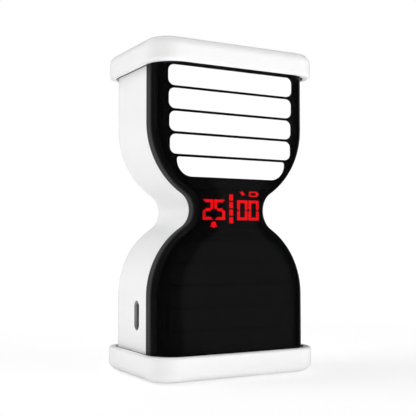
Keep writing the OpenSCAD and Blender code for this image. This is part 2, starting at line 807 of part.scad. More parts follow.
module battery_plug() {
  color("white") translate([-3, board_back_y + header_t, header_z - 1.6]) cube([6, plug_t, 3.2]);
}

// Lead from the battery's lower edge: down, round a bend and into the plug
module battery_lead(x) {
  lead_y = battery_y + battery_t / 2;
  plug_y = board_back_y + header_t + plug_t;
  drop_z = header_z + lead_bend_r;
  translate([x, lead_y, drop_z]) cylinder(h = battery_z - drop_z, d = lead_d);
  translate([x, lead_y - lead_bend_r, drop_z]) rotate([90, 90, 90]) rotate_extrude(angle = 90)
    translate([lead_bend_r, 0]) circle(d = lead_d);
  boss(x, header_z, plug_y, lead_y - lead_bend_r, lead_d);
}

module battery_lead_red() {
  color("red") battery_lead(-lead_x);
}

module battery_lead_black() {
  color("black") battery_lead(lead_x);
}

// Small speaker with a rim, a magnet can and a domed cone that faces the sound holes
module speaker() {
  color("dimgray") translate([0, wall_y, speaker_z]) rotate([90, 0, 0]) difference() {
    union() {
      cylinder(h = 1.6, d = speaker_d);
      translate([0, 0, 1.6]) cylinder(h = speaker_t - 2.6, d1 = speaker_d - 1, d2 = speaker_d * 0.7);
      translate([0, 0, speaker_t - 1]) cylinder(h = 1, d = speaker_d * 0.6);
    }
    translate([0, 0, -0.1]) cylinder(h = 0.7, d = speaker_d - 2.4);
  }
}

key_board_rim = 0.6;
key_board_w = 2 * key_pitch + switch_w + 2 * key_board_rim;
key_board_z0 = key_z - switch_w / 2 - key_board_rim;
key_board_z1 = key_z + key_boss_dz + key_boss_d / 2 + key_board_rim;

module key_board() {
  color("darkgreen") difference() {
    upright(key_board_y, switch_base_y) translate([0, (key_board_z0 + key_board_z1) / 2])
      round_rect(key_board_w, key_board_z1 - key_board_z0, 1.5);
    for (p = key_boss_places) boss(p[0], p[1], key_board_y - 1, switch_base_y + 1, pilot_d);
  }
}

module key_board_screws() {
  color("silver") for (p = key_boss_places) {
    boss(p[0], p[1], key_board_y - screw_head_t, key_board_y, screw_head_d - 0.2);
    boss(p[0], p[1], key_board_y - 0.1, switch_base_y + 3.6, screw_d);
  }
}

// Pin header that joins the key board to the main board
module key_header() {
  color("black") translate([-5, board_back_y, key_z - 1.25])
    cube([10, key_board_y - board_back_y, 2.5]);
}

module tact_switches() {
  color("silver") for (k = [-1, 0, 1]) difference() {
    translate([k * key_pitch - switch_w / 2, switch_base_y, key_z - switch_w / 2])
      cube([switch_w, switch_h, switch_w]);
    boss(k * key_pitch, key_z, switch_top_y - 2 * key_travel - 1.2, switch_top_y + 1,
      plunger_d + 2 * key_gap);
  }
}

// Round key with a rounded rim and a flange that rests against the inside of the wall
module key(k) {
  color("white") translate([k * key_pitch, key_under_y, key_z]) along_y() rotate_extrude() {
    square([key_d / 2 + key_gap + key_flange, key_flange_t]);
    square([key_d / 2, key_flange_t + housing_t + key_proud - 0.6]);
    square([key_d / 2 - 0.6, key_flange_t + housing_t + key_proud]);
    translate([key_d / 2 - 0.6, key_flange_t + housing_t + key_proud - 0.6]) quarter(0.6);
  }
}

module plunger(k) {
  color("black") boss(k * key_pitch, key_z, switch_top_y - 1.2, key_under_y, plunger_d);
}

module minus_key() {
  key(1);
}

module set_key() {
  key(0);
}

module plus_key() {
  key(-1);
}

module minus_plunger() {
  plunger(1);
}

module set_plunger() {
  plunger(0);
}

module plus_plunger() {
  plunger(-1);
}

rear_housing();
front_cover();
top_cap();
bottom_cap();
top_pad();
bottom_pad();
top_cap_screws();
bottom_cap_screws();
upper_light_frame();
lower_light_frame();
for (k = [1:BARS]) upper_bar(k);
for (k = [1:BARS]) lower_bar(k);
upper_leds();
lower_leds();
display_module();
lit_segments();
unlit_segments();
divider_dashes();
status_icons();
main_board();
controller_chip();
motion_sensor();
board_screws();
usb_shell();
usb_tongue();
battery();
battery_tape();
battery_header();
battery_plug();
battery_lead_red();
battery_lead_black();
speaker();
key_board();
key_board_screws();
key_header();
tact_switches();
minus_key();
set_key();
plus_key();
minus_plunger();
set_plunger();
plus_plunger();
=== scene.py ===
import math

import bmesh
import bpy
from mathutils import Matrix, Vector


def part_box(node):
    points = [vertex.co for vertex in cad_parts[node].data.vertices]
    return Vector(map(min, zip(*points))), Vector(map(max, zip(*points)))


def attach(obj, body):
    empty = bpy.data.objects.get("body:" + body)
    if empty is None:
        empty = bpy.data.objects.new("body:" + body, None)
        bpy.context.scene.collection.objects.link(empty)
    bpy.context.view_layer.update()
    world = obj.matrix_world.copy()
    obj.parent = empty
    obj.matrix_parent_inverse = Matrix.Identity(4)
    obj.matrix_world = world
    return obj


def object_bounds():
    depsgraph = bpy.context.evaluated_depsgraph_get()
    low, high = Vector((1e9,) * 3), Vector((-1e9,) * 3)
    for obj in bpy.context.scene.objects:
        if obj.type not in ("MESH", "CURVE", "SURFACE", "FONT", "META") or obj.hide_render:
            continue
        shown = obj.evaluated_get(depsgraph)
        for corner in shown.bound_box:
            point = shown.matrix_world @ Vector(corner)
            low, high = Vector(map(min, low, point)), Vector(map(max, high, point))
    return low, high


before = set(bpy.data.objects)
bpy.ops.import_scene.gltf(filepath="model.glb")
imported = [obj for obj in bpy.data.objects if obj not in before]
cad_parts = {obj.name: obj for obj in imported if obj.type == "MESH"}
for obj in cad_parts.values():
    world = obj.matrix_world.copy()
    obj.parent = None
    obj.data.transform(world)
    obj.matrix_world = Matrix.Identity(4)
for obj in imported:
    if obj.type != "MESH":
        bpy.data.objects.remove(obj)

bl_info = {
    "name": "Hourglass Timer Looks",
    "version": (1, 0, 0),
    "blender": (4, 5, 0),
    "location": "View3D > Sidebar > Timer",
    "description":
        "Finishes and small details of an hourglass timer with light bars, and its studio",
    "category": "Object",
}

CAD_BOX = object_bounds()
MM = 0.001
TURN = 2 * math.pi
BLACK = (0.0, 0.0, 0.0)
FLOAT, COLOUR = "NodeSocketFloat", "NodeSocketColor"
BARS = range(1, 6)
KEYS = ("minus", "set", "plus")

# Moulded grain: scale of the slow drift of tone and gloss over a surface
DRIFT_SCALE = 45.0

# Painted shade: dark bands on the housing, behind the caps' rims, that darken the gaps at the caps
GAP_SHADE_INSET, GAP_SHADE_BLUR = 0.1 * MM, 0.05 * MM

# Grey on the wall inside the charging slot, from just under the housing's face inwards
SLOT_GREY_INSET, SLOT_GREY_DEPTH = 0.12 * MM, 3 * MM
SLOT_GREY_MARGIN, SLOT_GREY_BLUR = 0.3 * MM, 0.05 * MM

# Smoked cover: distances behind its clear front at which the finish changes; the skirt distances
# bound its painted sheen
SMOKE_END = 2.5 * MM
SATIN_START, SATIN_END, SATIN_GAIN = 0.3 * MM, 2.2 * MM, 0.8
SHEEN_START, SHEEN_END = 3 * MM, 4.8 * MM

# Lit faces: loss of light half-way between two light sources, and the distance of the sources
BAR_DIMMING, BAR_SPACING = 0.05, 13.8 * MM
DIGIT_DIMMING, DIGIT_SPACING = 0.1, 2.1 * MM

# Marks on the keys: stroke as a share of the mark's width, depth in and height on the key
MARK_STROKE = 0.2
MARK_SUNK, MARK_PROUD = 0.05 * MM, 0.03 * MM

# Pebbled pads: width of the valleys in pebbles, and how much painted shade darkens them
VALLEY_WIDTH, VALLEY_SHADE = 0.22, 0.17

# Contacts on both sides of the socket's tongue
CONTACT_COUNT = 12
CONTACT_PITCH, CONTACT_WIDTH = 0.5 * MM, 0.25 * MM
CONTACT_PROUD, CONTACT_INSET = 0.02 * MM, 0.3 * MM

# Finishes inside the housing: name, colour, roughness, other settings, nodes
INSIDES = (
    ("solder_mask", (0.012, 0.12, 0.045), 0.35, {"tone": 0.2}, ("main_board", "key_board")),
    ("chip_black", (0.02, 0.02, 0.021), 0.55, {},
     ("controller_chip", "motion_sensor", "key_header")),
    ("screw_steel", (0.5, 0.5, 0.52), 0.35, {"Metallic": 1.0},
     ("top_cap_screws", "bottom_cap_screws", "board_screws", "key_board_screws")),
    ("battery_foil", (0.68, 0.69, 0.71), 0.4,
     {"grain": 1.0 * MM, "depth": 0.06 * MM, "Metallic": 1.0}, ("battery",)),
    ("foam_black", (0.03, 0.03, 0.03), 0.9, {"depth": 0.06 * MM}, ("battery_tape",)),
    ("connector_white", (0.8, 0.79, 0.74), 0.5, {}, ("battery_header", "battery_plug")),
    ("lead_red", (0.55, 0.012, 0.012), 0.45, {}, ("battery_lead_red",)),
    ("lead_black", (0.015, 0.015, 0.015), 0.45, {}, ("battery_lead_black",)),
    ("speaker_black", (0.03, 0.03, 0.03), 0.6, {}, ("speaker",)),
    ("plunger_black", (0.02, 0.02, 0.02), 0.5, {},
     ("minus_plunger", "set_plunger", "plus_plunger")),
)

# Camera, in millimetres of sensor and metres of view
SENSOR_WIDTH = 36.0
CLIP_START, CLIP_END = 0.01, 50.0

# Floor: half its side, and its depth under the lower pad
FLOOR_HALF, FLOOR_DROP = 4.0, 0.1 * MM

# Glow of the floor to the eye: how much it gains between two distances from the middle
SHOWN_START, SHOWN_END, SHOWN_GAIN = 0.12, 0.5, 0.22

# Glow of the floor as light: low under the timer as a painted shadow, high round it, and less far
# away
NEAR_END, NEAR_LOW, NEAR_HIGH = 0.012, 0.22, 0.62
FAR_START, FAR_END, FAR_LOSS = 0.05, 0.3, -0.35

# Unlit room round the timer, and its screens: (degrees from the front, tone)
ROOM_RADIUS, ROOM_BOTTOM, ROOM_TOP, ROOM_STEPS = 0.9, -0.05 * MM, 1.4, 96
GREY_SCREEN = ((2, 0.02), (18, 0.3), (42, 0.3), (60, 0.02))
PALE_SCREEN = ((-180, 0.06), (-170, 0.5), (-140, 0.5), (-128, 0.02))

# Softboxes: side, places, and the point at which they aim
SOFTBOX_SIDE = 0.9
BACK_PLACE = Vector((-0.85, 0.38, 0.95))
FRONT_PLACE = Vector((0.62, -0.9, 0.3))
LAMP_TARGET = Vector((0, 0, 0.05))

# Light from all round: the side on which it is weaker, the cosines between which it fades,
# and the share that is left
WEAK_SIDE = Vector((-0.7, -0.7, -0.1)).normalized()
WEAK_START, WEAK_END, WEAK_SHARE = -0.2, 1.0, 0.45


class TimerFinishes(bpy.types.PropertyGroup):
    """Colours and strengths of the timer's own surfaces"""

    shell_colour: bpy.props.FloatVectorProperty(
        name="Shell", description="White of the caps, the housing and the keys",
        subtype="COLOR", size=3, min=0, max=1, default=(0.9, 0.9, 0.9))
    shell_roughness: bpy.props.FloatProperty(
        name="Shell roughness", description="Satin of the white plastic",
        subtype="FACTOR", min=0, max=1, default=0.34)
    # Painted shade for the gaps at the caps, laid as dark bands on the housing's ends
    gap_shade_colour: bpy.props.FloatVectorProperty(
        name="Painted gap shade",
        description="Dark bands round the housing's ends, seen in the gaps at the caps",
        subtype="COLOR", size=3, min=0, max=1, default=(0.02, 0.02, 0.02))
    slot_wall_colour: bpy.props.FloatVectorProperty(
        name="Slot wall grey", description="Grey of the wall inside the charging slot",
        subtype="COLOR", size=3, min=0, max=1, default=(0.48, 0.48, 0.48))
    cover_colour: bpy.props.FloatVectorProperty(
        name="Cover", description="Body colour of the smoked cover",
        subtype="COLOR", size=3, min=0, max=1, default=(0.003, 0.003, 0.0035))
    cover_density: bpy.props.FloatProperty(
        name="Cover density",
        description="How much of the light behind it the cover holds back",
        subtype="FACTOR", min=0, max=1, default=0.62)
    cover_clear: bpy.props.FloatProperty(
        name="Clear front",
        description="Depth behind the front up to which the cover lets light through",
        subtype="DISTANCE", unit="LENGTH", min=0.001, max=0.008, default=0.0034)
    # Painted sheen: grey laid on the cover's skirt along the parting line
    skirt_sheen_colour: bpy.props.FloatVectorProperty(
        name="Painted skirt sheen",
        description="Grey of the cover's satin skirt along the parting line",
        subtype="COLOR", size=3, min=0, max=1, default=(0.052, 0.052, 0.052))
    bar_colour: bpy.props.FloatVectorProperty(
        name="Bar light", description="Colour of a lit bar",
        subtype="COLOR", size=3, min=0, max=1, default=(1.0, 1.0, 1.0))
    bar_strength: bpy.props.FloatProperty(
        name="Bar strength", description="Brightness of a lit bar behind the cover",
        min=0, max=20, default=7.1)
    digit_colour: bpy.props.FloatVectorProperty(
        name="Digit light", description="Colour of the lit digits and signs",
        subtype="COLOR", size=3, min=0, max=1, default=(1.0, 0.004, 0.008))
    digit_strength: bpy.props.FloatProperty(
        name="Digit strength", description="Brightness of the digits behind the cover",
        min=0, max=20, default=5.4)
    pad_colour: bpy.props.FloatVectorProperty(
        name="Pads", description="Colour of the non-slip pads",
        subtype="COLOR", size=3, min=0, max=1, default=(0.66, 0.66, 0.67))
    pad_pebble: bpy.props.FloatProperty(
        name="Pad pebbles", description="Size of the pebbles moulded in the pads",
        subtype="DISTANCE", unit="LENGTH", min=0.0005, max=0.005, default=0.0012)
    mark_colour: bpy.props.FloatVectorProperty(
        name="Key marks", description="Colour of the marks on the keys",
        subtype="COLOR", size=3, min=0, max=1, default=(0.16, 0.16, 0.17))
    mark_size: bpy.props.FloatProperty(
        name="Mark size", description="Width of the mark on a key",
        subtype="DISTANCE", unit="LENGTH", min=0.001, max=0.006, default=0.0032)


class TimerStudio(bpy.types.PropertyGroup):
    """Camera, floor and light of the studio"""

    camera_place: bpy.props.FloatVectorProperty(
        name="Camera", description="Place of the camera",
        subtype="TRANSLATION", unit="LENGTH", size=3, default=(-0.129514, -0.232106, 0.041895))
    camera_aim: bpy.props.FloatVectorProperty(
        name="Aim", description="Direction in which the camera looks",
        subtype="DIRECTION", size=3, default=(0.48517, 0.87378, 0.03345))
    camera_up: bpy.props.FloatVectorProperty(
        name="Up", description="Direction of the picture's upper edge",
        subtype="DIRECTION", size=3, default=(-0.01599, -0.02938, 0.99944))
    camera_lens: bpy.props.FloatProperty(
        name="Lens", description="Focal length in millimetres on a 36 mm wide sensor",
        min=20, max=200, default=69.064)
    camera_rise: bpy.props.FloatProperty(
        name="Rise", description="Upward shift of the lens",
        min=-0.2, max=0.2, default=0.02158)
    floor_colour: bpy.props.FloatVectorProperty(
        name="Floor", description="Colour of the floor",
        subtype="COLOR", size=3, min=0, max=1, default=(0.96, 0.96, 0.96))
    floor_glow: bpy.props.FloatProperty(
        name="Floor glow",
        description="White that the eye sees shine through the floor, as on a light table",
        subtype="FACTOR", min=0, max=1, default=0.66)
    floor_shade: bpy.props.FloatProperty(
        name="Floor shade",
        description="Share of the floor's own light and shade that the eye sees",
        subtype="FACTOR", min=0, max=1, default=0.43)
    sky_strength: bpy.props.FloatProperty(
        name="Soft light", description="Light that comes evenly from all round",
        min=0, max=3, default=0.455)
    back_power: bpy.props.FloatProperty(
        name="Back softbox",
        description="Power of the large lamp on the left, a little behind the timer",
        subtype="POWER", unit="POWER", min=0, max=100, default=8.3)
    front_power: bpy.props.FloatProperty(
        name="Front softbox",
        description="Power of the large lamp in front of the timer, on the right",
        subtype="POWER", unit="POWER", min=0, max=100, default=6.9)


def node_of(name):
    """CAD node of that name."""
    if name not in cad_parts:
        raise RuntimeError(f"the packed model has no node named {name}")
    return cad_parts[name]


def dress(material, *names):
    """Gives CAD nodes one material in all their slots."""
    for name in names:
        mesh = node_of(name).data
        mesh.materials.clear()
        mesh.materials.append(material)


def feed(tree, socket, value):
    """Links a socket to another one, or sets its value."""
    if isinstance(value, bpy.types.NodeSocket):
        tree.links.new(value, socket)
    else:
        socket.default_value = value


def wire(tree, node, name, value):
    feed(tree, node.inputs[name], value)


def add(tree, kind, **inputs):
    """Adds a node and sets its named inputs to values or links."""
    node = tree.nodes.new(kind)
    for name, value in inputs.items():
        wire(tree, node, name.replace("_", " "), value)
    return node


def shader_of(material):
    """Node tree of a material and its shader."""
    tree = material.node_tree
    return tree, tree.nodes["Principled BSDF"]


def source_of(node, name):
    """Socket that feeds a node's input."""
    return node.inputs[name].links[0].from_socket


def place_of(tree):
    """Place of a surface point, in metres."""
    return tree.nodes.new("ShaderNodeTexCoord").outputs["Object"]


def axes_of(tree, place):
    return add(tree, "ShaderNodeSeparateXYZ", Vector=place).outputs


def maths(tree, operation, a, b=0.0, clamp=False):
    node = tree.nodes.new("ShaderNodeMath")
    node.operation = operation
    node.use_clamp = clamp
    feed(tree, node.inputs[0], a)
    feed(tree, node.inputs[1], b)
    return node.outputs[0]


def vectors(tree, operation, a, b=(0.0, 0.0, 0.0)):
    """Vector maths of a link and a fixed vector; a length or a dot product comes out as a value."""
    node = tree.nodes.new("ShaderNodeVectorMath")
    node.operation = operation
    feed(tree, node.inputs[0], a)
    feed(tree, node.inputs[1], b)
    return node.outputs["Value" if operation in ("LENGTH", "DOT_PRODUCT") else "Vector"]


def box_gap(tree, place, low, high):
    """Distance of a place from a box, 0 inside it."""
    out = vectors(tree, "ABSOLUTE", vectors(tree, "SUBTRACT", place, (low + high) / 2))
    beyond = vectors(tree, "MAXIMUM", vectors(tree, "SUBTRACT", out, (high - low) / 2))
    return vectors(tree, "LENGTH", beyond)


def blend(tree, share, a, b):
    """Mix of two colours by a share."""
    node = tree.nodes.new("ShaderNodeMix")
    node.data_type = "RGBA"
    feed(tree, node.inputs[0], share)
    for socket, colour in ((node.inputs[6], a), (node.inputs[7], b)):
        feed(tree, socket, (*colour, 1.0) if isinstance(colour, tuple) else colour)
    return node.outputs[2]


def ramp(tree, value, start, end, low, high):
    """Smooth change from low to high while a value goes from start to end."""
    node = tree.nodes.new("ShaderNodeMapRange")
    node.interpolation_type = "SMOOTHSTEP"
    for label, entry in (("Value", value), ("From Min", start), ("From Max", end),
                         ("To Min", low), ("To Max", high)):
        wire(tree, node, label, entry)
    return node.outputs["Result"]


def overpaint(tree, shader, share, colour):
    """Lays a colour over a material's own colour, where a mask says so."""
    plain = source_of(shader, "Base Color")
    wire(tree, shader, "Base Color", blend(tree, share, plain, tuple(colour)))


def plain_sight(tree):
    """1 for what the eye sees directly, in gloss or through glass, 0 for light on its way."""
    path = tree.nodes.new("ShaderNodeLightPath").outputs
    clear = maths(tree, "MAXIMUM", path["Is Glossy Ray"], path["Is Transmission Ray"])
    return maths(tree, "MAXIMUM", path["Is Camera Ray"], clear)


def new_group(name, inputs, outputs):
    """Shader node group with named sockets: (name, socket type, default)."""
    tree = bpy.data.node_groups.new(name, "ShaderNodeTree")
    for label, kind, default in inputs:
        socket = tree.interface.new_socket(name=label, in_out="INPUT", socket_type=kind)
        socket.default_value = default
    for label, kind in outputs:
        tree.interface.new_socket(name=label, in_out="OUTPUT", socket_type=kind)
    return tree, tree.nodes.new("NodeGroupInput").outputs, tree.nodes.new("NodeGroupOutput")


def noise(tree, place, scale, detail=2.0):
    return add(tree, "ShaderNodeTexNoise", Vector=place, Scale=scale, Detail=detail).outputs["Fac"]


def grain_group():
    """Moulded grain: a fine spark-eroded texture and a slow drift of tone and gloss."""
    tree, given, out = new_group(
        "Moulded Grain",
        [("Color", COLOUR, (0.8, 0.8, 0.8, 1.0)), ("Tone Drift", FLOAT, 0.02),
         ("Roughness", FLOAT, 0.4), ("Gloss Drift", FLOAT, 0.05), ("Grain Size", FLOAT, 0.0004)],
        [("Color", COLOUR), ("Roughness", FLOAT), ("Height", FLOAT)])
    place = place_of(tree)
    fine = noise(tree, place, maths(tree, "DIVIDE", 1.0, given["Grain Size"]), 3.0)
    slow = maths(tree, "SUBTRACT", noise(tree, place, DRIFT_SCALE), 0.5)
    drift = maths(tree, "ABSOLUTE", maths(tree, "MULTIPLY", slow, given["Tone Drift"]))
    gloss = maths(tree, "MULTIPLY", slow, given["Gloss Drift"])
    speck = maths(tree, "MULTIPLY", maths(tree, "SUBTRACT", fine, 0.5), given["Gloss Drift"])
    rough = maths(tree, "ADD", given["Roughness"], maths(tree, "ADD", gloss, speck), clamp=True)
    wire(tree, out, "Color", blend(tree, drift, given["Color"], BLACK))
    wire(tree, out, "Roughness", rough)
    wire(tree, out, "Height", fine)
    return tree


def glow_group():
    """Glow of a lit face: evenly bright, a little dimmer away from the light sources."""
    tree, given, out = new_group(
        "Lit Face",
        [("Color", COLOUR, (1.0, 1.0, 1.0, 1.0)), ("Dimming", FLOAT, 0.06),
         ("Spacing", FLOAT, 0.014)],
        [("Color", COLOUR)])
    turns = maths(tree, "DIVIDE", axes_of(tree, place_of(tree))["X"], given["Spacing"])
    wave = maths(tree, "COSINE", maths(tree, "MULTIPLY", turns, TURN))
    low = maths(tree, "MULTIPLY", maths(tree, "SUBTRACT", 1.0, wave), 0.5)
    share = maths(tree, "MULTIPLY", low, given["Dimming"])
    wire(tree, out, "Color", blend(tree, share, given["Color"], BLACK))
    return tree


GROUP_MAKERS = {"grain": grain_group, "glow": glow_group}
GROUPS = {}


def place_group(tree, name, **inputs):
    """Places a shared node group, which is built the first time."""
    if name not in GROUPS:
        GROUPS[name] = GROUP_MAKERS[name]()
    node = tree.nodes.new("ShaderNodeGroup")
    node.node_tree = GROUPS[name]
    for label, value in inputs.items():
        wire(tree, node, label.replace("_", " "), (*value, 1.0) if label == "Color" else value)
    return node


def finish_of(name, colour, roughness, grain=0.4 * MM, depth=0.01 * MM, tone=0.03, gloss=0.06,
              **sockets):
    """Moulded surface with its own grain; further shader inputs by name."""
    material = bpy.data.materials.new(name)
    material.use_nodes = True
    tree, shader = shader_of(material)
    skin = place_group(tree, "grain", Color=tuple(colour), Tone_Drift=tone, Roughness=roughness,
                       Gloss_Drift=gloss, Grain_Size=grain).outputs
    bump = add(tree, "ShaderNodeBump", Strength=1.0, Distance=depth, Height=skin["Height"])
    wire(tree, shader, "Base Color", skin["Color"])
    wire(tree, shader, "Roughness", skin["Roughness"])
    wire(tree, shader, "Normal", bump.outputs["Normal"])
    for label, value in sockets.items():
        wire(tree, shader, label, value)
    return material


def lit_face(name, colour, strength, dimming, spacing):
    """Face of a light: a pale diffuser that glows."""
    material = finish_of(name, colour, 0.5)
    tree, shader = shader_of(material)
    glow = place_group(tree, "glow", Color=tuple(colour), Dimming=dimming, Spacing=spacing)
    wire(tree, shader, "Emission Color", glow.outputs["Color"])
    wire(tree, shader, "Emission Strength", strength)
    return material


def dull_paint(name):
    """Material without gloss, for the stage."""
    material = bpy.data.materials.new(name)
    material.use_nodes = True
    tree, shader = shader_of(material)
    wire(tree, shader, "Roughness", 1.0)
    wire(tree, shader, "Specular IOR Level", 0.0)
    return material, tree, shader


def mesh_object(name, bm, material):
    """Turns a bmesh into an object of the scene."""
    mesh = bpy.data.meshes.new(name)
    bm.to_mesh(mesh)
    bm.free()
    mesh.materials.append(material)
    made = bpy.data.objects.new(name, mesh)
    bpy.context.scene.collection.objects.link(made)
    return made


def solid_piece(name, bm, material, body):
    """Turns a bmesh into a piece that rides on a body."""
    bmesh.ops.recalc_face_normals(bm, faces=bm.faces)
    piece = mesh_object(name, bm, material)
    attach(piece, body)


def join_rings(bm, a, b):
    """Faces between two closed rows of as many points."""
    for k in range(len(a)):
        n = (k + 1) % len(a)
        bm.faces.new((a[k], a[n], b[n], b[k]))


def raise_outline(bm, outline, y0, y1):
    """Solid of an outline in X and Z between two depths."""
    low = [bm.verts.new((x, y0, z)) for x, z in outline]
    high = [bm.verts.new((x, y1, z)) for x, z in outline]
    bm.faces.new(low)
    bm.faces.new(high)
    join_rings(bm, low, high)


def raise_ring(bm, mid, radius, stroke, y0, y1, steps=40):
    """Solid ring round a point between two depths."""
    turns = [TURN * k / steps for k in range(steps)]
    rows = []
    for y, r in ((y0, radius), (y1, radius), (y1, radius - stroke), (y0, radius - stroke)):
        rows.append([bm.verts.new((mid.x + r * math.cos(a), y, mid.z + r * math.sin(a)))
                     for a in turns])
    for a, b in zip(rows, rows[1:] + rows[:1]):
        join_rings(bm, a, b)


def round_bar(cx, cz, length, width, turned=False, steps=8):
    """Outline of a bar with round ends."""
    r = width / 2
    points = []
    for side in (1, -1):
        for k in range(steps + 1):
            a = math.pi * (k / steps - 0.5)
            x = side * (length / 2 - r + r * math.cos(a))
            z = side * r * math.sin(a)
            points.append((x, z))
    if turned:
        points = [(-z, x) for x, z in points]
    return [(cx + x, cz + z) for x, z in points]


class GLASS_TIMER_OT_shell(bpy.types.Operator):
    """Gives the caps, the housing and the keys their satin white, with painted shade in the gaps at
    the caps and grey on the wall of the charging slot
    """

    bl_idname = "glass_timer.shell"
    bl_label = "White shell"

    def execute(self, context):
        look = context.scene.timer_finishes
        white = finish_of("satin_white", look.shell_colour, look.shell_roughness,
                          grain=0.3 * MM, depth=0.004 * MM, tone=0.02, gloss=0.08)
        dress(white, "top_cap", "bottom_cap", *[f"{key}_key" for key in KEYS])
        banded = white.copy()
        banded.name = "satin_white_banded"
        tree, shader = shader_of(banded)
        place = place_of(tree)
        # Painted shade: a dark band on each end of the housing, inside the caps' rims
        low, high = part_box("bottom_cap")[1].z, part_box("top_cap")[0].z
        height = maths(tree, "SUBTRACT", axes_of(tree, place)["Z"], (low + high) / 2)
        start = (high - low) / 2 + GAP_SHADE_INSET
        band = ramp(tree, maths(tree, "ABSOLUTE", height), start, start + GAP_SHADE_BLUR, 0.0, 1.0)
        overpaint(tree, shader, band, look.gap_shade_colour)
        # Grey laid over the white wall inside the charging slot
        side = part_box("rear_housing")[0].x
        low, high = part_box("usb_shell")
        low = Vector((side + SLOT_GREY_INSET, low.y - SLOT_GREY_MARGIN, low.z - SLOT_GREY_MARGIN))
        high = Vector((side + SLOT_GREY_DEPTH, high.y + SLOT_GREY_MARGIN, high.z + SLOT_GREY_MARGIN))
        slot_wall_grey = ramp(tree, box_gap(tree, place, low, high), 0.0, SLOT_GREY_BLUR, 1.0, 0.0)
        overpaint(tree, shader, slot_wall_grey, look.slot_wall_colour)
        dress(banded, "rear_housing")
        return {"FINISHED"}


class GLASS_TIMER_OT_cover(bpy.types.Operator):
    """Gives the front cover its glossy smoked black, its satin skirt and a painted grey sheen on
    the skirt
    """

    bl_idname = "glass_timer.cover"
    bl_label = "Smoked cover"

    def execute(self, context):
        look = context.scene.timer_finishes
        smoke = finish_of("smoked_black", look.cover_colour, 0.07, grain=2 * MM,
                          depth=0.0002 * MM, tone=0.1, gloss=0.05, IOR=1.3)
        tree, shader = shader_of(smoke)
        depth = axes_of(tree, place_of(tree))["Y"]
        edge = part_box("front_cover")[0].y + look.cover_clear
        dense = ramp(tree, depth, edge, edge + SMOKE_END, look.cover_density, 1.0)
        wire(tree, shader, "Alpha", dense)
        satin = ramp(tree, depth, edge + SATIN_START, edge + SATIN_END, 0.0, SATIN_GAIN)
        polish = source_of(shader, "Roughness")
        wire(tree, shader, "Roughness", maths(tree, "ADD", polish, satin))
        # Painted sheen: grey laid over the skirt along the parting line
        skirt = ramp(tree, depth, edge + SHEEN_START, edge + SHEEN_END, 0.0, 1.0)
        overpaint(tree, shader, skirt, look.skirt_sheen_colour)
        dress(smoke, "front_cover")
        return {"FINISHED"}


class GLASS_TIMER_OT_bars(bpy.types.Operator):
    """Lights the upper bars and leaves the lower ones dark"""

    bl_idname = "glass_timer.bars"
    bl_label = "Light bars"

    def execute(self, context):
        look = context.scene.timer_finishes
        lit = lit_face("lit_bar", look.bar_colour, look.bar_strength, BAR_DIMMING, BAR_SPACING)
        dress(lit, *[f"upper_bar_{k}" for k in BARS])
        dark = finish_of("unlit_bar", (0.045, 0.045, 0.05), 0.5)
        dress(dark, *[f"lower_bar_{k}" for k in BARS])
        dress(finish_of("light_frame_black", (0.012, 0.012, 0.012), 0.6),
              "upper_light_frame", "lower_light_frame")
        dress(finish_of("led_package", (0.86, 0.82, 0.62), 0.4), "upper_leds", "lower_leds")
        return {"FINISHED"}


class GLASS_TIMER_OT_display(bpy.types.Operator):
    """Lights the digits, the divider and the signs in red"""

    bl_idname = "glass_timer.display"
    bl_label = "Display"

    def execute(self, context):
        look = context.scene.timer_finishes
        red = lit_face("lit_red", look.digit_colour, look.digit_strength,
                       DIGIT_DIMMING, DIGIT_SPACING)
        dress(red, "lit_segments", "divider_dashes", "status_icons")
        dress(finish_of("unlit_red", (0.02, 0.004, 0.004), 0.5), "unlit_segments")
        dress(finish_of("display_black", (0.01, 0.01, 0.01), 0.55), "display_module")
        return {"FINISHED"}


class GLASS_TIMER_OT_keys(bpy.types.Operator):
    """Marks the rear keys with a minus, a ring and a plus"""

    bl_idname = "glass_timer.keys"
    bl_label = "Key marks"

    def execute(self, context):
        look = context.scene.timer_finishes
        ink = finish_of("mark_grey", look.mark_colour, 0.5)
        size, stroke = look.mark_size, MARK_STROKE * look.mark_size
        for key in KEYS:
            low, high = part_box(f"{key}_key")
            mid = (low + high) / 2
            y0, y1 = high.y - MARK_SUNK, high.y + MARK_PROUD
            bm = bmesh.new()
            if key == "set":
                raise_ring(bm, mid, size / 2, stroke, y0, y1)
            else:
                raise_outline(bm, round_bar(mid.x, mid.z, size, stroke), y0, y1)
            if key == "plus":
                arm = (size - stroke) / 2
                for side in (1, -1):
                    z = mid.z + side * (stroke + arm) / 2
                    raise_outline(bm, round_bar(mid.x, z, arm, stroke, turned=True), y0, y1)
            solid_piece(f"{key}_mark", bm, ink, f"{key}_button")
        return {"FINISHED"}


class GLASS_TIMER_OT_pads(bpy.types.Operator):
    """Gives the non-slip pads their pebbled rubber, with painted shade in its valleys"""

    bl_idname = "glass_timer.pads"
    bl_label = "Non-slip pads"

    def execute(self, context):
        look = context.scene.timer_finishes
        rubber = finish_of("pad_rubber", look.pad_colour, 0.8, depth=0.08 * MM, tone=0.08,
                           gloss=0.1)
        tree, shader = shader_of(rubber)
        cells = tree.nodes.new("ShaderNodeTexVoronoi")
        cells.feature = "DISTANCE_TO_EDGE"
        wire(tree, cells, "Vector", place_of(tree))
        wire(tree, cells, "Scale", 1 / look.pad_pebble)
        valley = ramp(tree, cells.outputs["Distance"], 0.0, VALLEY_WIDTH, 1.0, 0.0)
        # Painted shade: the valleys between the pebbles are darkened
        overpaint(tree, shader, maths(tree, "MULTIPLY", valley, VALLEY_SHADE), BLACK)
        bump = source_of(shader, "Normal").node
        wire(tree, bump, "Height", maths(tree, "SUBTRACT", 1.0, valley))
        dress(rubber, "top_pad", "bottom_pad")
        return {"FINISHED"}


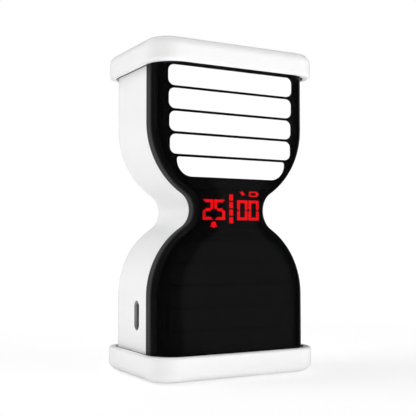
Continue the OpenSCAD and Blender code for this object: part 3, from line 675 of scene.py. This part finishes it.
class GLASS_TIMER_OT_socket(bpy.types.Operator):
    """Finishes the charging socket and adds its contacts"""

    bl_idname = "glass_timer.socket"
    bl_label = "Charging socket"

    def execute(self, context):
        steel = finish_of("socket_steel", (0.52, 0.52, 0.54), 0.32, grain=0.2 * MM,
                          depth=0.002 * MM, Metallic=1.0)
        dress(steel, "usb_shell", "tact_switches")
        dress(finish_of("tongue_black", (0.015, 0.015, 0.016), 0.5), "usb_tongue")
        gold = finish_of("contact_gold", (0.83, 0.6, 0.25), 0.28, Metallic=1.0)
        low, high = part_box("usb_tongue")
        length = high.x - low.x - 2 * CONTACT_INSET
        size = Vector((length, 2 * CONTACT_PROUD, CONTACT_WIDTH))
        bm = bmesh.new()
        for y in (low.y, high.y):
            for k in range(CONTACT_COUNT):
                z = (low.z + high.z) / 2 + (k - (CONTACT_COUNT - 1) / 2) * CONTACT_PITCH
                mid = Vector((low.x + CONTACT_INSET + length / 2, y, z))
                bmesh.ops.create_cube(bm, size=1.0, matrix=Matrix.LocRotScale(mid, None, size))
        solid_piece("socket_contacts", bm, gold, "timer")
        return {"FINISHED"}


class GLASS_TIMER_OT_insides(bpy.types.Operator):
    """Finishes the boards, the battery, the speaker and the screws"""

    bl_idname = "glass_timer.insides"
    bl_label = "Insides"

    def execute(self, context):
        for name, colour, roughness, settings, nodes in INSIDES:
            dress(finish_of(name, colour, roughness, **settings), *nodes)
        return {"FINISHED"}


class GLASS_TIMER_OT_studio(bpy.types.Operator):
    """Sets up the camera, the white floor and the soft light"""

    bl_idname = "glass_timer.studio"
    bl_label = "Studio"

    def execute(self, context):
        studio = context.scene.timer_studio
        self.camera(context.scene, studio)
        self.floor(studio)
        self.dark_room()
        self.lamp(context.scene, "back_softbox", BACK_PLACE, studio.back_power)
        self.lamp(context.scene, "front_softbox", FRONT_PLACE, studio.front_power)
        self.sky(context.scene, studio)
        context.scene.view_settings.view_transform = "Standard"
        return {"FINISHED"}

    @staticmethod
    def camera(scene, studio):
        data = bpy.data.cameras.new("camera")
        data.lens, data.sensor_width = studio.camera_lens, SENSOR_WIDTH
        data.sensor_fit = "HORIZONTAL"
        data.shift_y = studio.camera_rise
        data.clip_start, data.clip_end = CLIP_START, CLIP_END
        eye = bpy.data.objects.new("camera", data)
        scene.collection.objects.link(eye)
        aim, up = Vector(studio.camera_aim).normalized(), Vector(studio.camera_up).normalized()
        right = aim.cross(up).normalized()
        turn = Matrix((right, right.cross(aim), -aim)).transposed().to_4x4()
        eye.matrix_world = Matrix.Translation(Vector(studio.camera_place)) @ turn
        scene.camera = eye

    @staticmethod
    def stage_piece(name, bm, material):
        piece = mesh_object(name, bm, material)
        return piece

    def floor(self, studio):
        """A light table: its glow is stronger to the eye far away, and as light round the timer,
        with a painted shadow under it.
        """
        bm = bmesh.new()
        bmesh.ops.create_grid(bm, x_segments=1, y_segments=1, size=FLOOR_HALF,
                              matrix=Matrix.Translation((0, 0, -FLOOR_DROP)))
        paint, tree, shader = dull_paint("floor_white")
        seen = plain_sight(tree)
        shade = tuple(c * studio.floor_shade for c in studio.floor_colour)
        wire(tree, shader, "Base Color", blend(tree, seen, tuple(studio.floor_colour), shade))
        wire(tree, shader, "Emission Color", (1.0, 1.0, 1.0, 1.0))
        place = place_of(tree)
        shown = ramp(tree, vectors(tree, "LENGTH", place), SHOWN_START, SHOWN_END,
                     studio.floor_glow, studio.floor_glow + SHOWN_GAIN)
        off = box_gap(tree, place, *CAD_BOX)
        # Painted shadow: the floor's glow as light is low under the timer
        shadowed_near_glow = ramp(tree, off, 0.0, NEAR_END, NEAR_LOW, NEAR_HIGH)
        bounce = maths(tree, "ADD", shadowed_near_glow, ramp(tree, off, FAR_START, FAR_END, 0.0, FAR_LOSS))
        extra = maths(tree, "MULTIPLY", seen, maths(tree, "SUBTRACT", shown, bounce))
        wire(tree, shader, "Emission Strength", maths(tree, "ADD", bounce, extra))
        self.stage_piece("floor", bm, paint)

    def dark_room(self):
        """The unlit room round the timer, seen only in gloss, with a grey and a pale screen."""
        turns = [TURN * k / ROOM_STEPS for k in range(ROOM_STEPS)]
        rings = [[(ROOM_RADIUS * math.sin(a), -ROOM_RADIUS * math.cos(a), z) for a in turns]
                 for z in (ROOM_BOTTOM, ROOM_TOP)]
        wall = bmesh.new()
        join_rings(wall, *[[wall.verts.new(place) for place in ring] for ring in rings])
        cards = [("room_wall", wall, PALE_SCREEN + GREY_SCREEN)]
        for name, ring, stops in zip(("room_floor", "room_ceiling"), rings,
                                     (GREY_SCREEN, GREY_SCREEN[:1])):
            card = bmesh.new()
            card.faces.new([card.verts.new(place) for place in ring])
            cards.append((name, card, stops))
        for name, bm, stops in cards:
            piece = self.stage_piece(name, bm, self.screen(name, stops))
            piece.visible_camera = False
            piece.visible_diffuse = False
            piece.visible_transmission = False
            piece.visible_shadow = False

    @staticmethod
    def screen(name, stops):
        """Dark paper whose tone changes with the direction from the timer."""
        paper, tree, shader = dull_paint(name)
        wire(tree, shader, "Base Color", (*BLACK, 1.0))
        wire(tree, shader, "Emission Strength", 1.0)
        axes = axes_of(tree, place_of(tree))
        turn = maths(tree, "ARCTAN2", axes["X"], maths(tree, "MULTIPLY", axes["Y"], -1.0))
        tones = tree.nodes.new("ShaderNodeValToRGB")
        wire(tree, tones, "Fac", maths(tree, "ADD", maths(tree, "DIVIDE", turn, TURN), 0.5))
        scale = tones.color_ramp.elements
        scale.remove(scale[1])
        for k, (angle, tone) in enumerate(stops):
            position = angle / 360 + 0.5
            stop = scale.new(position) if k else scale[0]
            stop.position = position
            stop.color = (tone, tone, tone, 1.0)
        wire(tree, shader, "Emission Color", tones.outputs["Color"])
        return paper

    @staticmethod
    def lamp(scene, name, place, power):
        data = bpy.data.lights.new(name, "AREA")
        data.shape, data.size, data.size_y = "RECTANGLE", SOFTBOX_SIDE, SOFTBOX_SIDE
        data.energy = power
        box = bpy.data.objects.new(name, data)
        scene.collection.objects.link(box)
        box.visible_glossy = False
        box.location = place
        box.rotation_euler = (LAMP_TARGET - place).to_track_quat("-Z", "Y").to_euler()

    @staticmethod
    def sky(scene, studio):
        """White to the eye and in gloss; as light, a little weaker on the camera's side."""
        world = bpy.data.worlds.new("studio_sky")
        scene.world = world
        world.use_nodes = True
        tree = world.node_tree
        tree.nodes.clear()
        place = tree.nodes.new("ShaderNodeTexCoord").outputs["Generated"]
        share = ramp(tree, vectors(tree, "DOT_PRODUCT", place, WEAK_SIDE),
                     WEAK_START, WEAK_END, 1.0, WEAK_SHARE)
        power = maths(tree, "MULTIPLY", share, studio.sky_strength)
        light = add(tree, "ShaderNodeBackground", Color=(1, 1, 1, 1), Strength=power)
        seen = add(tree, "ShaderNodeBackground", Color=(1, 1, 1, 1), Strength=1.0)
        mix = tree.nodes.new("ShaderNodeMixShader")
        sources = (plain_sight(tree), light.outputs[0], seen.outputs[0])
        for socket, source in zip(mix.inputs, sources):
            feed(tree, socket, source)
        add(tree, "ShaderNodeOutputWorld", Surface=mix.outputs[0])


PIECES = (
    GLASS_TIMER_OT_shell, GLASS_TIMER_OT_cover, GLASS_TIMER_OT_bars, GLASS_TIMER_OT_display,
    GLASS_TIMER_OT_keys, GLASS_TIMER_OT_pads, GLASS_TIMER_OT_socket, GLASS_TIMER_OT_insides,
)


class GLASS_TIMER_PT_looks(bpy.types.Panel):
    """Sidebar list of the timer's pieces and its studio"""

    bl_idname = "GLASS_TIMER_PT_looks"
    bl_label = "Hourglass timer"
    bl_space_type = "VIEW_3D"
    bl_region_type = "UI"
    bl_category = "Timer"

    def draw(self, context):
        layout = self.layout
        for operator in (*PIECES, GLASS_TIMER_OT_studio):
            layout.operator(operator.bl_idname)
        for settings in (context.scene.timer_finishes, context.scene.timer_studio):
            box = layout.box()
            for name in settings.bl_rna.properties.keys():
                if name not in ("rna_type", "name"):
                    box.prop(settings, name)


CLASSES = (TimerFinishes, TimerStudio, *PIECES, GLASS_TIMER_OT_studio, GLASS_TIMER_PT_looks)


def register():
    for cls in CLASSES:
        bpy.utils.register_class(cls)
    bpy.types.Scene.timer_finishes = bpy.props.PointerProperty(type=TimerFinishes)
    bpy.types.Scene.timer_studio = bpy.props.PointerProperty(type=TimerStudio)


def unregister():
    del bpy.types.Scene.timer_studio
    del bpy.types.Scene.timer_finishes
    for cls in reversed(CLASSES):
        bpy.utils.unregister_class(cls)


def main():
    register()
    ops = bpy.ops.glass_timer
    ops.studio()
    for make in (ops.shell, ops.cover, ops.bars, ops.display, ops.keys, ops.pads, ops.socket,
                 ops.insides):
        make()


if __name__ == "__main__":
    main()
